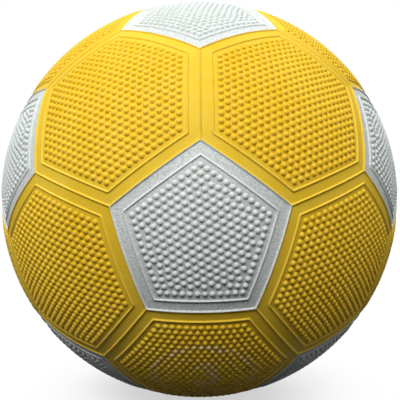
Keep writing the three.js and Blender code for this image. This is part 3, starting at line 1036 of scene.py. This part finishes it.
def nylon_winding(name):
    """Nylon thread wound round the bladder in several directions, set in latex."""
    n = Surface(name)
    threads = None
    for axis in THREAD_TURNS:
        wobble = n.calc("MULTIPLY", n.noise(size=9, detail=1), THREAD_WOBBLE)
        height = n.calc("ADD", n.along(unit(axis)), wobble)
        wave = n.calc("SINE", n.calc("MULTIPLY", height, 2 * math.pi / THREAD_SPACING))
        thread = n.spread(wave, THREAD_RISE, smooth=True)
        threads = thread if threads is None else n.calc("MAXIMUM", threads, thread)
    colour = n.mix(threads, LATEX, THREAD)
    colour = n.shade(colour, n.spread(n.noise(size=0.6, detail=3), NOISE_RANGE, to=(0.9, 1.06)))
    rough = n.spread(threads, (0, 1), to=(0.8, 0.55))
    return n.finish(colour, rough, n.bump(threads, distance=0.2, strength=0.8))


def inner_layers():
    """Materials for the layers under the cover, which stay as the CAD made them."""
    materials = {
        "carcass": dark_rubber("carcass_rubber", CARCASS_BLACK, roughness=0.75, spot=14),
        "thread_winding": nylon_winding("winding_nylon"),
        "bladder": dark_rubber(
            "bladder_butyl", BUTYL_BLACK, roughness=0.45, spot=18, bloom=BUTYL_BLOOM),
    }
    for node, material in materials.items():
        frame["nodes"][node].material_slots[0].material = material


# Studio

def floor_material():
    """Pale floor that fades to white away from the ball. It keeps the ball's shadow and hardly lights it."""
    material = bpy.data.materials.new("pale_floor")
    material.use_nodes = True
    n = Nodes(material.node_tree)
    n.tree.nodes.clear()
    shaded, white, mixed = n.new("BsdfDiffuse"), n.new("Emission"), n.new("MixShader")
    seen = n.seen_directly()
    n.link(n.mix(seen, FLOOR_TO_OBJECT, FLOOR_COLOUR), shaded.inputs["Color"])
    length = n.new("VectorMath")
    length.operation = "LENGTH"
    n.link(n.new("TexCoord").outputs["Object"], length.inputs[0])
    fade = n.spread(length.outputs["Value"], SHADOW_REACH, SHADOW_WHITE, smooth=True)
    n.link(n.calc("MULTIPLY", fade, seen), mixed.inputs[0])
    n.link(shaded.outputs[0], mixed.inputs[1])
    n.link(white.outputs[0], mixed.inputs[2])
    n.link(mixed.outputs[0], n.new("OutputMaterial").inputs[0])
    return material


def pale_floor():
    points, faces = [(0, 0, 0)], []
    for radius in FLOOR_RINGS:
        for i in range(FLOOR_SEGMENTS):
            turn = 2 * math.pi * i / FLOOR_SEGMENTS
            points.append((radius * math.cos(turn), radius * math.sin(turn), 0))
    for i, j in loop_edges(1, FLOOR_SEGMENTS):
        faces.append((0, i, j))
        for ring in range(len(FLOOR_RINGS) - 1):
            a, b = ring * FLOOR_SEGMENTS, (ring + 1) * FLOOR_SEGMENTS
            faces.append((a + i, b + i, b + j, a + j))
    mesh = bpy.data.meshes.new("studio_floor")
    mesh.from_pydata(points, [], faces)
    mesh.materials.append(floor_material())
    floor = bpy.data.objects.new("studio_floor", mesh)
    bpy.context.scene.collection.objects.link(floor)
    floor.location.z = -CROWN_RADIUS * MM


def softbox(name, place, size, watts):
    """A rectangular lamp that faces the ball."""
    light = bpy.data.lights.new(name, "AREA")
    light.shape = "RECTANGLE"
    light.size, light.size_y = size
    light.energy = watts
    lamp = bpy.data.objects.new(name, light)
    bpy.context.scene.collection.objects.link(lamp)
    lamp.location = place
    lamp.rotation_euler = (-Vector(place)).to_track_quat("-Z", "Y").to_euler()


def world():
    """A soft sky above the floor, which the camera and reflections see as the white background."""
    space = bpy.data.worlds.new("studio")
    bpy.context.scene.world = space
    space.use_nodes = True
    n = Nodes(space.node_tree)
    background = n.tree.nodes["Background"]
    background.inputs["Color"].default_value = (1, 1, 1, 1)
    split = n.new("SeparateXYZ")
    n.link(n.new("TexCoord").outputs["Generated"], split.inputs[0])
    strength = n.new("Mix")
    strength.data_type = "FLOAT"
    n.link(n.seen_directly(), strength.inputs["Factor"])
    n.link(n.spread(split.outputs["Z"], SKY_RISE, SKY_STRENGTH, smooth=True), strength.inputs[2])
    strength.inputs[3].default_value = 1.0
    n.link(strength.outputs[0], background.inputs["Strength"])


def camera():
    """The photograph's view, whose turn and distance put the seam corners where the photograph has them."""
    turn = Vector(np.radians(CAMERA_TURN))
    axes = np.array(Matrix.Rotation(turn.length, 3, turn)) @ basis(PENTAGONS[FRONT_PENTAGON], UP)
    lens = bpy.data.cameras.new("photo_camera")
    lens.sensor_width = CAMERA_SENSOR
    lens.lens = CAMERA_LENS
    lens.shift_x = PHOTO_OFFSET / PHOTO_WIDTH
    lens.shift_y = -PHOTO_OFFSET / PHOTO_WIDTH
    lens.clip_start = CLIP_START
    eye = bpy.data.objects.new("photo_camera", lens)
    bpy.context.scene.collection.objects.link(eye)
    matrix = Matrix(axes.T.tolist()).to_4x4()
    matrix.translation = Vector(axes[2] * CAMERA_DISTANCE * CROWN_RADIUS * MM)
    eye.matrix_world = matrix
    bpy.context.scene.camera = eye


cover()
valve()
inner_layers()
pale_floor()
for lamp in LAMPS:
    softbox(*lamp)
world()
camera()
bpy.context.scene.view_settings.view_transform = "Standard"
